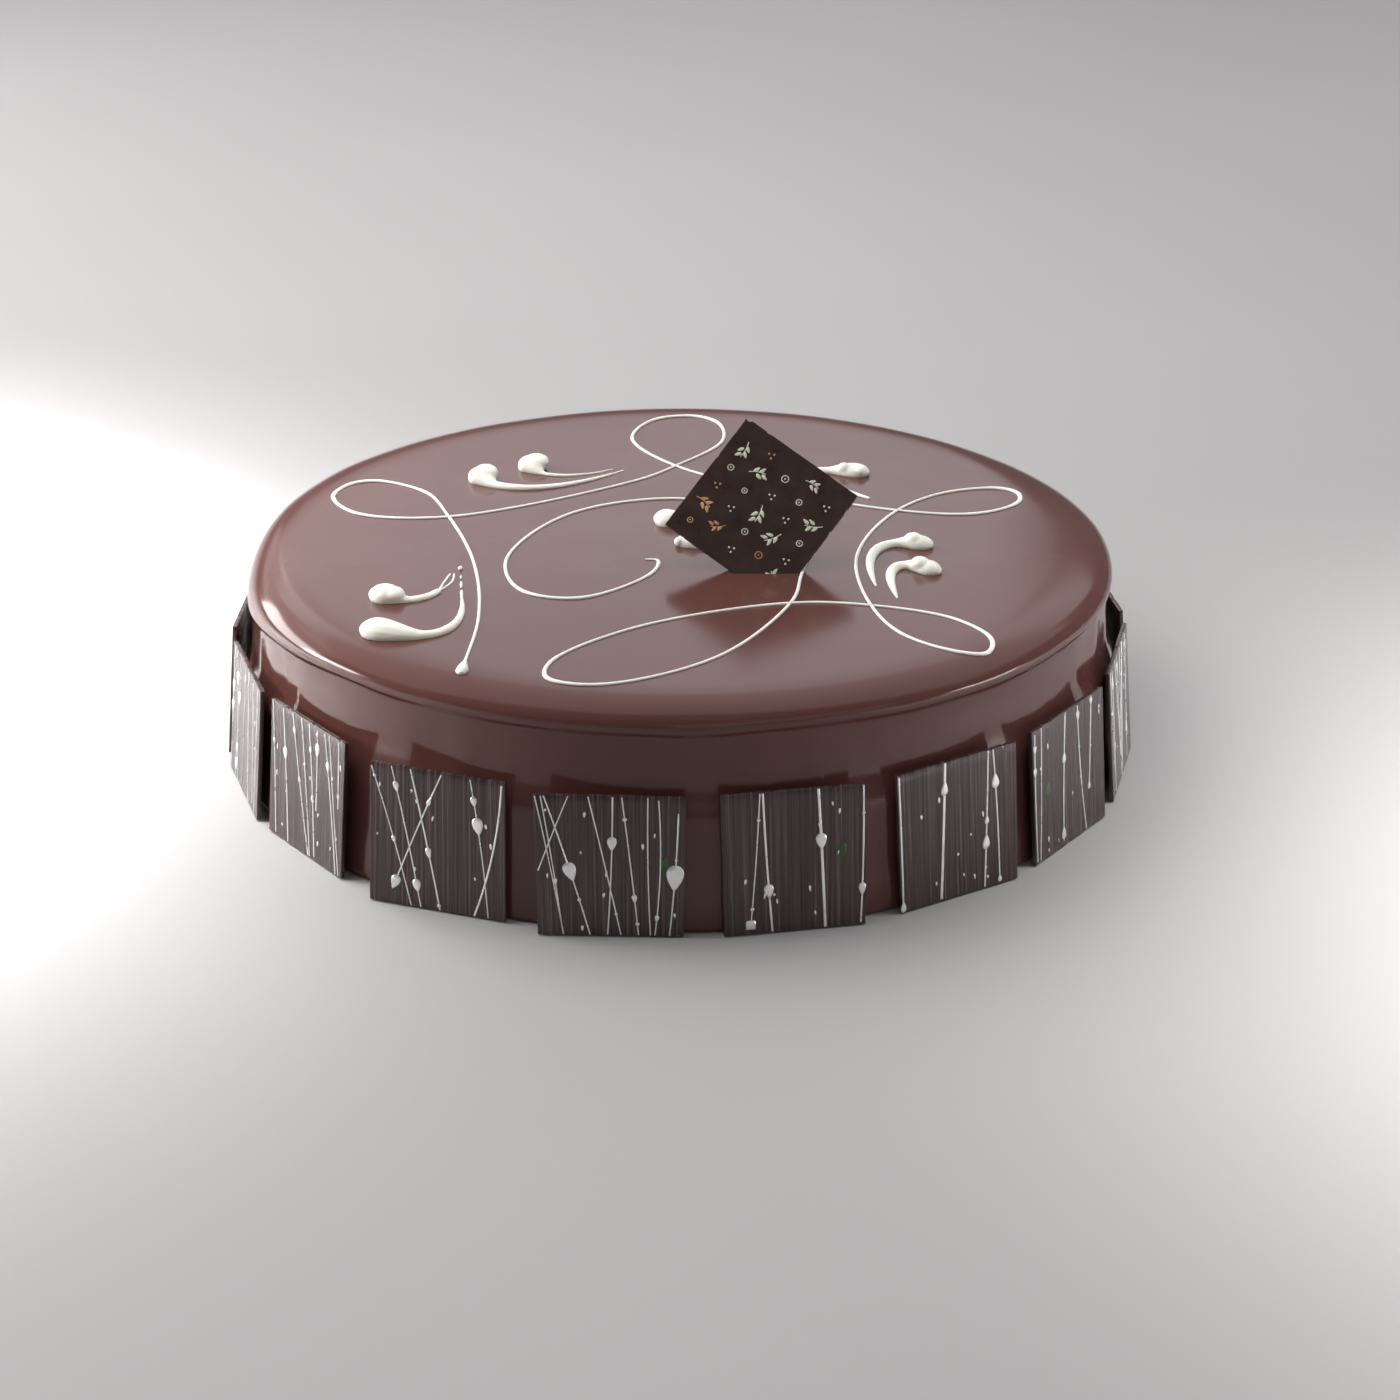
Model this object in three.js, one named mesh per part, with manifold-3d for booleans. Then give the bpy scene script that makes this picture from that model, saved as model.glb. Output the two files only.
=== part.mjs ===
// Chocolate mousse cake: a round glazed body with a scroll of white chocolate piped on its top, pairs
// of piped comma drops, one square chocolate plaque pushed into the top on a corner, and a ring of thin
// chocolate panels standing round the side. Millimetres, +Z up, origin at the centre of the base, front
// towards -Y.
import * as THREE from 'three';
import { mergeVertices } from 'three/addons/utils/BufferGeometryUtils.js';
import Module from 'manifold-3d';

// Body: a ring-moulded cake whose glaze runs a little wider towards the base
const RIM_RADIUS = 120;
const CAKE_HEIGHT = 60;
const RIM_ROUNDING = 9.5;
const WALL_FLARE = 4;
const FOOT_ROUNDING = 1.2;
const BODY_SIDES = 96;
const RIM_STEPS = 7;
const FOOT_STEPS = 3;

// Room between pieces that touch
const GAP = 0.3;

// Scroll: one bead of piped chocolate, thicker where the hand slows in a bend, and rising a little
// along the line so that it lies over itself where it crosses
const BEAD_WIDTH = 1.3;
const BEAD_BEND_WIDTH = 0.5;
const BEAD_SLOW_RADIUS = 12;
const BEAD_HEIGHT = 0.95;
const BEAD_RISE = 0.15;
const BEAD_SINK = 0.4;
const BEAD_SHOULDER_WIDTH = 0.84;
const BEAD_SHOULDER_HEIGHT = 0.55;
const BEAD_JOIN_SHARE = 0.85;
const BEAD_STEP = 3.2;
const START_BLOB_RADIUS = 1.8;
const START_BLOB_FLATNESS = 0.8;
const START_BLOB_SINK = 0.25;
const START_BLOB_SIDES = 10;
const START_BLOB_RINGS = 6;

// Each loop of the scroll runs from its neck, where the line crosses itself, round the tip and back.
// The flanks are the distances of its two sides from the line between neck and tip.
const FLANK_AT = 0.5;
const SHOULDER_AT = 0.9;
const SHOULDER_NARROWING = 0.7;
const SCROLL_START = [[-54.5, -97.2], [-52.3, -60], [-56, -20]];
const SCROLL_LOOPS = [
  { neck: [-65.2, 15.6], tip: [-95.1, 43], flanks: [-9.6, 15.6], after: [[-13.1, 45.6]] },
  { neck: [-1.4, 58.6], tip: [3.1, 104], flanks: [-11.5, 15.5], after: [[24.5, 38.8]] },
  { neck: [61.8, 20.8], tip: [96.9, 35.6], flanks: [-11, 7.9], after: [[48.9, -14.2]] },
  { neck: [51, -51.6], tip: [79.1, -82.3], flanks: [-8.3, 9.3], after: [] },
  { neck: [29.7, -50], tip: [-32.4, -101], flanks: [-12.5, 16.3], after: [] },
];
const SCROLL_CURL = [
  [33, -30.5], [35, -10], [23.5, 18.3], [-1.5, 30.5], [-29.8, 19.3], [-47.1, -17.2],
  [-41.1, -41.9], [-26.4, -46.4], [-7.8, -29.1], [-5.9, -18.4], [-9.4, -17.8],
];
const SCROLL_SAMPLES_PER_POINT = 40;

// Drops: a piped head drawn out into a tail that bends round an elbow to its tip.
// A head's sizes are its length, width and height.
const DROP_NECK_WIDTH = 3.2;
const DROP_TIP_WIDTH = 1.0;
const DROP_NECK_HEIGHT = 1.9;
const DROP_TIP_HEIGHT = 0.7;
const DROP_HEAD_STEPS = 7;
const DROP_HEAD_FIRST_STEP = 0.4;
const DROP_TAIL_STEPS = 8;
const DROP_TAIL_FROM = 1.05;
const DROP_SIDES = 7;
const DROPS = {
  drop_left_1: { rear: [-82.3, -46.3], elbow: [-63, -55], tip: [-61.2, -28], head: [11, 8.6, 4.2] },
  drop_left_2: { rear: [-82.3, -70.3], elbow: [-53, -83], tip: [-57.6, -46], head: [12, 8.8, 4.3] },
  drop_back_left_1: { rear: [-61.5, 48], elbow: [-44, 27], tip: [-16.3, 55], head: [9, 7.6, 4.4] },
  drop_back_left_2: { rear: [-47.3, 58.5], elbow: [-37, 43], tip: [-19.5, 56], head: [9.5, 7.6, 4.3] },
  drop_back_right_1: { rear: [55, 50.5], elbow: [20, 62], tip: [54.6, 30.5], head: [9, 6.8, 3.9] },
  drop_back_right_2: { rear: [33, 57.5], elbow: [12, 68], tip: [22, 45], head: [9, 7, 4] },
  drop_right_1: { rear: [70, -8.5], elbow: [47.8, 2], tip: [53, -38], head: [9, 6.6, 3.9] },
  drop_right_2: { rear: [72, -29.5], elbow: [53, -12], tip: [58.3, -46.5], head: [9.5, 6.8, 4.1] },
  drop_middle_1: { rear: [-7, 12.2], elbow: [14, 3], tip: [15, 19], head: [9.5, 7.6, 4.2] },
  drop_middle_2: { rear: [-1.3, -5.8], elbow: [22, -16], tip: [24, 4], head: [9.5, 7.4, 4.1] },
};

// Plaque: a thin square standing on a sunk corner and leaning back
const PLAQUE_SIDE = 38;
const PLAQUE_THICKNESS = 2;
const PLAQUE_EDGE = 0.25;
const PLAQUE_FOOT = [22.1, -28.3];
const PLAQUE_CENTRE_ABOVE_FOOT = [0.4, 18];
const PLAQUE_LEAN = THREE.MathUtils.degToRad(36);
const PLAQUE_TURN = THREE.MathUtils.degToRad(-36.7);

// Panels: thin hand-cut squares, each flat against the wall and touching it along one upright line
const PANEL_COUNT = 17;
const PANEL_WIDTH = 38;
const PANEL_HEIGHT = 38.4;
const PANEL_THICKNESS = 2;
const PANEL_EDGE = 0.25;
const PANEL_UNEVEN = 0.5;
const FIRST_PANEL_ANGLE = THREE.MathUtils.degToRad(-71.2);
const PANEL_SWING_DEG = 1.8;
// The front panels as set by hand: swung by so many degrees, and slid along the wall
const FRONT_PANELS = new Map([
  [2, { swing: -3.5, slide: -2.7 }],
  [3, { swing: 8.5, slide: 0 }],
  [4, { swing: 5.8, slide: 0 }],
  [5, { swing: -2.1, slide: 0.4 }],
  [6, { swing: -1.7, slide: 1 }],
  [7, { swing: -0.9, slide: 0.5 }],
]);
const PANEL_SEED = 17;

const TOP_FLAT_RADIUS = RIM_RADIUS - RIM_ROUNDING;
const WALL_TOP = CAKE_HEIGHT - RIM_ROUNDING;
const WALL_SLOPE = WALL_FLARE / WALL_TOP;
const BASE_RADIUS = RIM_RADIUS + WALL_FLARE;

const glaze = new THREE.MeshStandardMaterial({ color: 0x4a2f28, roughness: 0.08, metalness: 0 });
const whiteChocolate = new THREE.MeshStandardMaterial({ color: 0xf4ecdb, roughness: 0.4, metalness: 0 });
const panelChocolate = new THREE.MeshStandardMaterial({ color: 0x3a2f30, roughness: 0.2, metalness: 0 });
const plaqueChocolate = new THREE.MeshStandardMaterial({ color: 0x2d1f1d, roughness: 0.25, metalness: 0 });

const wasm = await Module();
wasm.setup();

// A seeded stream of numbers from -1 to 1
function unevenness(seed) {
  let state = seed;
  return () => {
    state = (state * 1664525 + 1013904223) % 4294967296;
    return (state / 4294967296) * 2 - 1;
  };
}

// A closed geometry as a solid that can be joined and cut, its collapsed triangles dropped
function solidOf(geometry) {
  const bare = geometry.clone();
  bare.deleteAttribute('normal');
  bare.deleteAttribute('uv');
  const merged = mergeVertices(bare, 1e-4);
  const corners = merged.index.array;
  const kept = [];
  for (let i = 0; i < corners.length; i += 3) {
    const [a, b, c] = [corners[i], corners[i + 1], corners[i + 2]];
    if (a !== b && b !== c && c !== a) kept.push(a, b, c);
  }
  const vertProperties = new Float32Array(merged.attributes.position.array);
  return new wasm.Manifold(new wasm.Mesh({ numProp: 3, vertProperties, triVerts: new Uint32Array(kept) }));
}

function geometryOf(solid) {
  const { vertProperties, triVerts, numProp } = solid.getMesh();
  const geometry = new THREE.BufferGeometry();
  const buffer = new THREE.InterleavedBuffer(vertProperties, numProp);
  geometry.setAttribute('position', new THREE.InterleavedBufferAttribute(buffer, 3, 0));
  geometry.setIndex(new THREE.BufferAttribute(triVerts, 1));
  return geometry;
}

// A closed body through rings of points that all run the same way round, its two ends flat
function loft(rings) {
  const sides = rings[0].length;
  const positions = rings.flat().flatMap((point) => point.toArray());
  const index = [];
  for (let i = 0; i + 1 < rings.length; i += 1) {
    for (let j = 0; j < sides; j += 1) {
      const here = i * sides + j;
      const beside = i * sides + ((j + 1) % sides);
      index.push(here, beside, here + sides, beside, beside + sides, here + sides);
    }
  }
  const last = (rings.length - 1) * sides;
  for (let j = 1; j + 1 < sides; j += 1) {
    index.push(0, j + 1, j);
    index.push(last, last + j, last + j + 1);
  }
  const geometry = new THREE.BufferGeometry();
  geometry.setAttribute('position', new THREE.Float32BufferAttribute(positions, 3));
  geometry.setIndex(index);
  return geometry;
}

// A ring across a line on the top: section points are [distance to the left, height]
function ringAcross(place, heading, section) {
  const left = new THREE.Vector3(-heading.y, heading.x, 0).normalize();
  return section.map(([across, height]) => (
    new THREE.Vector3(place.x, place.y, place.z + height).addScaledVector(left, across)
  ));
}

// Height of the glaze over a point of the top, which falls away over the rounded rim
function topHeight(x, y) {
  const over = Math.max(0, Math.hypot(x, y) - TOP_FLAT_RADIUS);
  return WALL_TOP + Math.sqrt(RIM_ROUNDING ** 2 - over ** 2);
}

function bodyProfile() {
  const profile = [new THREE.Vector2(0, 0)];
  for (let i = 0; i <= FOOT_STEPS; i += 1) {
    const turn = (i / FOOT_STEPS) * (Math.PI / 2);
    const out = BASE_RADIUS - FOOT_ROUNDING + FOOT_ROUNDING * Math.sin(turn);
    profile.push(new THREE.Vector2(out, FOOT_ROUNDING - FOOT_ROUNDING * Math.cos(turn)));
  }
  for (let i = 0; i <= RIM_STEPS; i += 1) {
    const turn = (i / RIM_STEPS) * (Math.PI / 2);
    const out = TOP_FLAT_RADIUS + RIM_ROUNDING * Math.cos(turn);
    profile.push(new THREE.Vector2(out, WALL_TOP + RIM_ROUNDING * Math.sin(turn)));
  }
  profile.push(new THREE.Vector2(0, CAKE_HEIGHT));
  return profile;
}

function bodyGeometry() {
  return new THREE.LatheGeometry(bodyProfile(), BODY_SIDES).rotateX(Math.PI / 2);
}

// The points that one loop of the scroll passes through
function loopPoints({ neck, tip, flanks }) {
  const from = new THREE.Vector2(...neck);
  const axis = new THREE.Vector2(...tip).sub(from);
  const left = new THREE.Vector2(-axis.y, axis.x).normalize();
  const beside = (along, across) => (
    from.clone().addScaledVector(axis, along).addScaledVector(left, across).toArray()
  );
  const [out, back] = flanks;
  return [
    neck,
    beside(FLANK_AT, out),
    beside(SHOULDER_AT, out * SHOULDER_NARROWING),
    tip,
    beside(SHOULDER_AT, back * SHOULDER_NARROWING),
    beside(FLANK_AT, back),
    neck,
  ];
}

function scrollCurve() {
  const loops = SCROLL_LOOPS.flatMap((loop) => [...loopPoints(loop), ...loop.after]);
  const points = [...SCROLL_START, ...loops, ...SCROLL_CURL];
  const curve = new THREE.CatmullRomCurve3(points.map(([x, y]) => new THREE.Vector3(x, y, 0)));
  curve.arcLengthDivisions = points.length * SCROLL_SAMPLES_PER_POINT;
  return curve;
}

// The places along the scroll, with the line's heading, width and height at each
function scrollStations() {
  const curve = scrollCurve();
  const steps = Math.round(curve.getLength() / BEAD_STEP);
  const places = curve.getSpacedPoints(steps);
  const headings = places.map((place, i) => (
    places[Math.min(i + 1, steps)].clone().sub(places[Math.max(i - 1, 0)]).normalize()
  ));
  return places.map((place, i) => {
    const turn = headings[Math.max(i - 1, 0)].angleTo(headings[Math.min(i + 1, steps)]);
    const slowing = Math.min(1, (turn * BEAD_SLOW_RADIUS) / (2 * BEAD_STEP));
    place.z = topHeight(place.x, place.y);
    return {
      place,
      heading: headings[i],
      width: BEAD_WIDTH + BEAD_BEND_WIDTH * slowing,
      height: BEAD_HEIGHT + (BEAD_RISE * i) / steps,
    };
  });
}

// The bead's ring at a station, a low ridge whose foot is sunk in the glaze
function beadRing({ place, heading, width, height }, share) {
  const side = (width / 2) * share;
  const crest = height * share;
  const foot = -BEAD_SINK * share;
  return ringAcross(place, heading, [
    [side, foot],
    [side * BEAD_SHOULDER_WIDTH, crest * BEAD_SHOULDER_HEIGHT],
    [0, crest],
    [-side * BEAD_SHOULDER_WIDTH, crest * BEAD_SHOULDER_HEIGHT],
    [-side, foot],
  ]);
}

function nearestStation(stations, [x, y]) {
  const distances = stations.map(({ place }) => Math.hypot(place.x - x, place.y - y));
  return distances.indexOf(Math.min(...distances));
}

// The scroll as stretches that each run from a loop's first flank to the next loop's, so that none
// crosses itself. Each starts a little slimmer, inside the end of the one before.
function scrollStretches() {
  const stations = scrollStations();
  const flanks = SCROLL_LOOPS.map((loop) => nearestStation(stations, loopPoints(loop)[1]));
  const ends = [1, ...flanks, stations.length - 1];
  return ends.slice(1).map((end, i) => {
    const start = beadRing(stations[ends[i] - 1], BEAD_JOIN_SHARE);
    const rest = stations.slice(ends[i] + 1, end + 1).map((station) => beadRing(station, 1));
    return loft([start, ...rest]);
  });
}

function startBlob() {
  const [x, y] = SCROLL_START[0];
  const blob = new THREE.SphereGeometry(START_BLOB_RADIUS, START_BLOB_SIDES, START_BLOB_RINGS);
  return blob.scale(1, 1, START_BLOB_FLATNESS).translate(x, y, topHeight(x, y) - START_BLOB_SINK);
}

// The plaque at its place, or the pocket for it when grown by the room it needs
function plaqueGeometry(room) {
  const flatSide = PLAQUE_SIDE + 2 * room - 2 * PLAQUE_EDGE;
  const half = flatSide / 2;
  const outline = new THREE.Shape([
    new THREE.Vector2(-half, -half),
    new THREE.Vector2(half, -half),
    new THREE.Vector2(half, half),
    new THREE.Vector2(-half, half),
  ]);
  const geometry = new THREE.ExtrudeGeometry(outline, {
    depth: PLAQUE_THICKNESS + 2 * room - 2 * PLAQUE_EDGE,
    bevelThickness: PLAQUE_EDGE,
    bevelSize: PLAQUE_EDGE,
    bevelSegments: 1,
  });
  const [footX, footY] = PLAQUE_FOOT;
  return geometry
    .translate(0, 0, PLAQUE_EDGE - PLAQUE_THICKNESS - room)
    .rotateZ(PLAQUE_TURN)
    .translate(...PLAQUE_CENTRE_ABOVE_FOOT, 0)
    .rotateX(Math.PI / 2 - PLAQUE_LEAN)
    .translate(footX, footY, CAKE_HEIGHT);
}

function cakeGeometry() {
  let cake = solidOf(bodyGeometry());
  scrollStretches().forEach((stretch) => {
    cake = cake.add(solidOf(stretch));
  });
  cake = cake.add(solidOf(startBlob()));
  cake = cake.subtract(solidOf(plaqueGeometry(GAP)));
  return geometryOf(cake);
}

// One measure of a drop along its length: a round head that eases into a tapering tail
function dropMeasure(along, length, headLength, headSize, neckSize, tipSize) {
  const fromMiddle = (2 * along) / headLength - 1;
  const head = headSize * Math.sqrt(Math.max(0, 1 - fromMiddle ** 2));
  const start = Math.sqrt(Math.min(1, (2 * along) / headLength));
  const tail = start * THREE.MathUtils.lerp(neckSize, tipSize, along / length);
  return (head ** 4 + tail ** 4) ** 0.25;
}

function dropGeometry({ rear, elbow, tip, head }) {
  const [headLength, headWidth, headHeight] = head;
  const curve = new THREE.QuadraticBezierCurve3(
    new THREE.Vector3(...rear, 0),
    new THREE.Vector3(...elbow, 0),
    new THREE.Vector3(...tip, 0),
  );
  const length = curve.getLength();
  const stations = [];
  for (let i = 0; i < DROP_HEAD_STEPS; i += 1) {
    const turn = (Math.PI * (i + DROP_HEAD_FIRST_STEP)) / DROP_HEAD_STEPS;
    stations.push((headLength / 2) * (1 - Math.cos(turn)));
  }
  for (let i = 0; i <= DROP_TAIL_STEPS; i += 1) {
    stations.push(THREE.MathUtils.lerp(headLength * DROP_TAIL_FROM, length, i / DROP_TAIL_STEPS));
  }
  return loft(stations.map((along) => {
    const place = curve.getPointAt(along / length);
    const width = dropMeasure(along, length, headLength, headWidth, DROP_NECK_WIDTH, DROP_TIP_WIDTH);
    const height = dropMeasure(along, length, headLength, headHeight, DROP_NECK_HEIGHT, DROP_TIP_HEIGHT);
    const section = [];
    for (let j = 0; j < DROP_SIDES; j += 1) {
      const turn = (Math.PI * j) / (DROP_SIDES - 1);
      section.push([(width / 2) * Math.cos(turn), height * Math.sin(turn)]);
    }
    place.z = topHeight(place.x, place.y) + GAP;
    return ringAcross(place, curve.getTangentAt(along / length), section);
  }));
}

// A panel in its own plane, outer face towards +Z, standing on y = 0 and leaning with the wall
function panelGeometry(uneven) {
  const half = PANEL_WIDTH / 2 - PANEL_EDGE;
  const top = PANEL_HEIGHT - PANEL_EDGE;
  const corner = (x, y) => new THREE.Vector2(x + uneven() * PANEL_UNEVEN, y);
  const outline = new THREE.Shape([
    corner(-half, PANEL_EDGE),
    corner(half, PANEL_EDGE),
    corner(half, top + uneven() * PANEL_UNEVEN),
    corner(-half, top + uneven() * PANEL_UNEVEN),
  ]);
  const geometry = new THREE.ExtrudeGeometry(outline, {
    depth: PANEL_THICKNESS - 2 * PANEL_EDGE,
    bevelThickness: PANEL_EDGE,
    bevelSize: PANEL_EDGE,
    bevelSegments: 1,
  });
  geometry.translate(0, 0, PANEL_EDGE);
  return geometry.applyMatrix4(new THREE.Matrix4().makeShear(0, 0, 0, -WALL_SLOPE, 0, 0));
}

// A panel's place: its plane touches the wall where it is swung to, and it is slid along that plane
// to its angle
function placePanel(mesh, angle, { swing, slide }) {
  const turn = THREE.MathUtils.degToRad(swing);
  const distance = BASE_RADIUS + GAP;
  mesh.geometry.translate(slide - distance * Math.tan(turn), 0, distance);
  mesh.geometry.rotateX(Math.PI / 2);
  mesh.rotation.z = angle + turn;
}

const group = new THREE.Group();

function addPiece(name, geometry, material) {
  const mesh = new THREE.Mesh(geometry, material);
  mesh.name = name;
  group.add(mesh);
  return mesh;
}

addPiece('cake', cakeGeometry(), glaze);
addPiece('plaque', plaqueGeometry(0), plaqueChocolate);
Object.entries(DROPS).forEach(([name, drop]) => addPiece(name, dropGeometry(drop), whiteChocolate));

const uneven = unevenness(PANEL_SEED);
for (let number = 1; number <= PANEL_COUNT; number += 1) {
  const name = `panel_${String(number).padStart(2, '0')}`;
  const angle = FIRST_PANEL_ANGLE + ((number - 1) / PANEL_COUNT) * 2 * Math.PI;
  const setting = FRONT_PANELS.get(number) ?? { swing: uneven() * PANEL_SWING_DEG, slide: 0 };
  placePanel(addPiece(name, panelGeometry(uneven), panelChocolate), angle, setting);
}

export default group;
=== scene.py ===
import math
import random
import bmesh
import bpy
from mathutils import Matrix, Vector, noise


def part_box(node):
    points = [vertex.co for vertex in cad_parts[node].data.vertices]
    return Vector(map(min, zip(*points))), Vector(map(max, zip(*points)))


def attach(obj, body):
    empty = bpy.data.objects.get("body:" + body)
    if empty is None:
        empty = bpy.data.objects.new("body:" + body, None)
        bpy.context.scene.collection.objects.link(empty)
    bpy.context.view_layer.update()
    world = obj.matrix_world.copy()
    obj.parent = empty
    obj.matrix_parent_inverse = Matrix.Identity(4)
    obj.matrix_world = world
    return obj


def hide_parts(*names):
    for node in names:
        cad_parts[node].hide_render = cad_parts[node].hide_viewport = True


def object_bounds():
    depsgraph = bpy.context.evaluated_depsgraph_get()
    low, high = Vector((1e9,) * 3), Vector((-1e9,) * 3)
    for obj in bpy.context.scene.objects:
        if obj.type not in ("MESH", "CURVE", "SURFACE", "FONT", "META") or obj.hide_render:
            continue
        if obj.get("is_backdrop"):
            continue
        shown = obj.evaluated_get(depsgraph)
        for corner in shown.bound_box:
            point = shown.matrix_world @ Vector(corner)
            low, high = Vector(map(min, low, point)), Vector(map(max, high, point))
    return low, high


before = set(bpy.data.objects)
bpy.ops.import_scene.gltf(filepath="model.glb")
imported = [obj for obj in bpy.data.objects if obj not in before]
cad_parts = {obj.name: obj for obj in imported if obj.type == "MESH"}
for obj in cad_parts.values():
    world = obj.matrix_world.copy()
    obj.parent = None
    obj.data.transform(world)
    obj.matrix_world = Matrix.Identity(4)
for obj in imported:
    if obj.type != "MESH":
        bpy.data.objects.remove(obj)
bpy.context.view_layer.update()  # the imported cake, its nodes fixed where they are
mm = 0.001
up = Vector((0, 0, 1))
print("frame loaded:", len(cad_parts), "nodes")


# Working habits: selecting, naming, modifiers

def enter(mode):
    bpy.ops.object.mode_set(mode=mode)


def clearSelection():
    if bpy.context.object and bpy.context.object.mode != "OBJECT":
        enter("OBJECT")
    bpy.ops.object.select_all(action="DESELECT")


def pick(*pieces):
    clearSelection()
    for piece in pieces:
        piece.select_set(True)
    bpy.context.view_layer.objects.active = pieces[0]


def nameIt(name):
    piece = bpy.context.object
    piece.name = name
    piece.data.name = name
    return piece


def choose(piece, kind, test):  # selects in edit mode, by place or normal
    bpy.ops.mesh.select_mode(type=kind)
    bpy.ops.mesh.select_all(action="DESELECT")
    mesh = bmesh.from_edit_mesh(piece.data)
    parts = {"VERT": mesh.verts, "EDGE": mesh.edges, "FACE": mesh.faces}[kind]
    for part in parts:
        if test(part):
            part.select_set(True)
    mesh.select_flush_mode()
    bmesh.update_edit_mesh(piece.data)


def applyModifier(piece, kind, **settings):
    pick(piece)
    modifier = piece.modifiers.new(kind.lower(), kind)
    for key, value in settings.items():
        setattr(modifier, key, value)
    bpy.ops.object.modifier_apply(modifier=modifier.name)


def joinAll(pieces, name):
    pick(*pieces)
    if len(pieces) > 1:
        bpy.ops.object.join()
    return nameIt(name)


def bakePlace(piece):  # the place goes into the mesh, the object to the origin
    pick(piece)
    bpy.ops.object.transform_apply(location=True, rotation=True, scale=True)


def meshPiece(name, points, faces):
    mesh = bpy.data.meshes.new(name)
    mesh.from_pydata(points, [], faces)
    piece = bpy.data.objects.new(name, mesh)
    bpy.context.collection.objects.link(piece)
    pick(piece)
    return piece


def tubeAlong(name, points, radii, roundness):  # a bead along a line, as a mesh
    clearSelection()
    bpy.ops.curve.primitive_nurbs_path_add()
    piece = nameIt(name)
    curve = piece.data
    curve.splines.clear()
    spline = curve.splines.new("POLY")
    spline.points.add(len(points) - 1)
    for knot, point, radius in zip(spline.points, points, radii):
        knot.co = (*point, 1)
        knot.radius = radius / mm
    curve.twist_mode = "Z_UP"
    curve.bevel_depth = mm
    curve.bevel_resolution = roundness
    curve.use_fill_caps = True
    bpy.ops.object.convert(target="MESH")
    return bpy.context.object


def smoothStep(low, high, value):
    share = min(1, max(0, (value - low) / (high - low)))
    return share * share * (3 - 2 * share)


def lerp(a, b, share):
    return a + (b - a) * share


def leftOf(heading):
    return Vector((-heading.y, heading.x))


def dress(piece, finish, slot, *nodes):  # finish, body, slot and the nodes it stands for; the slot is not used
    piece.data.materials.clear()
    for each in finish if isinstance(finish, list) else [finish]:
        piece.data.materials.append(each)
    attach(piece, "root")
    if nodes:
        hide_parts(*nodes)


# Finishes

def newFinish(name, **constants):
    finish = bpy.data.materials.new(name)
    finish.use_nodes = True
    shader = finish.node_tree.nodes["Principled BSDF"]
    for socket, value in constants.items():
        shader.inputs[socket.replace("_", " ")].default_value = value
    return finish, finish.node_tree, shader


def addNode(tree, kind, sockets=None, **settings):
    made = tree.nodes.new(kind)
    for key, value in settings.items():
        setattr(made, key, value)
    for key, value in (sockets or {}).items():
        made.inputs[key].default_value = value
    return made


def grainOf(tree, scale, detail=2, coords="Object", stretch=(1, 1, 1)):  # noise, drawn out by the stretch
    place = addNode(tree, "ShaderNodeTexCoord")
    mapping = addNode(tree, "ShaderNodeMapping", {"Scale": stretch})
    grain = addNode(tree, "ShaderNodeTexNoise", {"Scale": scale, "Detail": detail})
    tree.links.new(place.outputs[coords], mapping.inputs["Vector"])
    tree.links.new(mapping.outputs["Vector"], grain.inputs["Vector"])
    return grain.outputs["Fac"]


def shades(tree, grain, stops):  # a colour ramp over a grain
    ramp = addNode(tree, "ShaderNodeValToRGB")
    elements = ramp.color_ramp.elements
    while len(elements) < len(stops):
        elements.new(0.5)
    for element, (position, colour) in zip(elements, stops):
        element.position = position
        element.color = (*colour, 1)
    tree.links.new(grain, ramp.inputs["Fac"])
    return ramp.outputs["Color"]


def between(tree, grain, low, high):  # a grain brought between two values
    limits = {"From Min": 0.3, "From Max": 0.7, "To Min": low, "To Max": high}
    spread = addNode(tree, "ShaderNodeMapRange", limits)
    tree.links.new(grain, spread.inputs["Value"])
    return spread.outputs["Result"]


def colourBy(tree, shader, grain, *stops):
    tree.links.new(shades(tree, grain, stops), shader.inputs["Base Color"])


def roughBy(tree, shader, grain, low, high):
    tree.links.new(between(tree, grain, low, high), shader.inputs["Roughness"])


def bumps(tree, shader, grain, strength, depth):
    bump = addNode(tree, "ShaderNodeBump", {"Strength": strength, "Distance": depth})
    tree.links.new(grain, bump.inputs["Height"])
    tree.links.new(bump.outputs["Normal"], shader.inputs["Normal"])


def mirrorGlaze():
    finish, tree, shader = newFinish("mirrorGlaze", IOR=1.45)
    tone = grainOf(tree, 11)
    colourBy(tree, shader, tone, (0.1, (0.092, 0.034, 0.028)), (0.9, (0.116, 0.046, 0.039)))
    wipe = grainOf(tree, 48, stretch=(1, 1, 0.4))
    place = addNode(tree, "ShaderNodeTexCoord")
    level = addNode(tree, "ShaderNodeSeparateXYZ")
    onTop = addNode(tree, "ShaderNodeMapRange", {"From Min": 52 * mm, "From Max": 59.5 * mm})
    gloss = addNode(tree, "ShaderNodeMix")  # the top has a bloom that the running side hasn't
    tree.links.new(place.outputs["Object"], level.inputs["Vector"])
    tree.links.new(level.outputs["Z"], onTop.inputs["Value"])
    tree.links.new(onTop.outputs["Result"], gloss.inputs["Factor"])
    tree.links.new(between(tree, wipe, 0.08, 0.12), gloss.inputs["A"])
    tree.links.new(between(tree, wipe, 0.14, 0.17), gloss.inputs["B"])
    tree.links.new(gloss.outputs["Result"], shader.inputs["Roughness"])
    return finish


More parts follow.
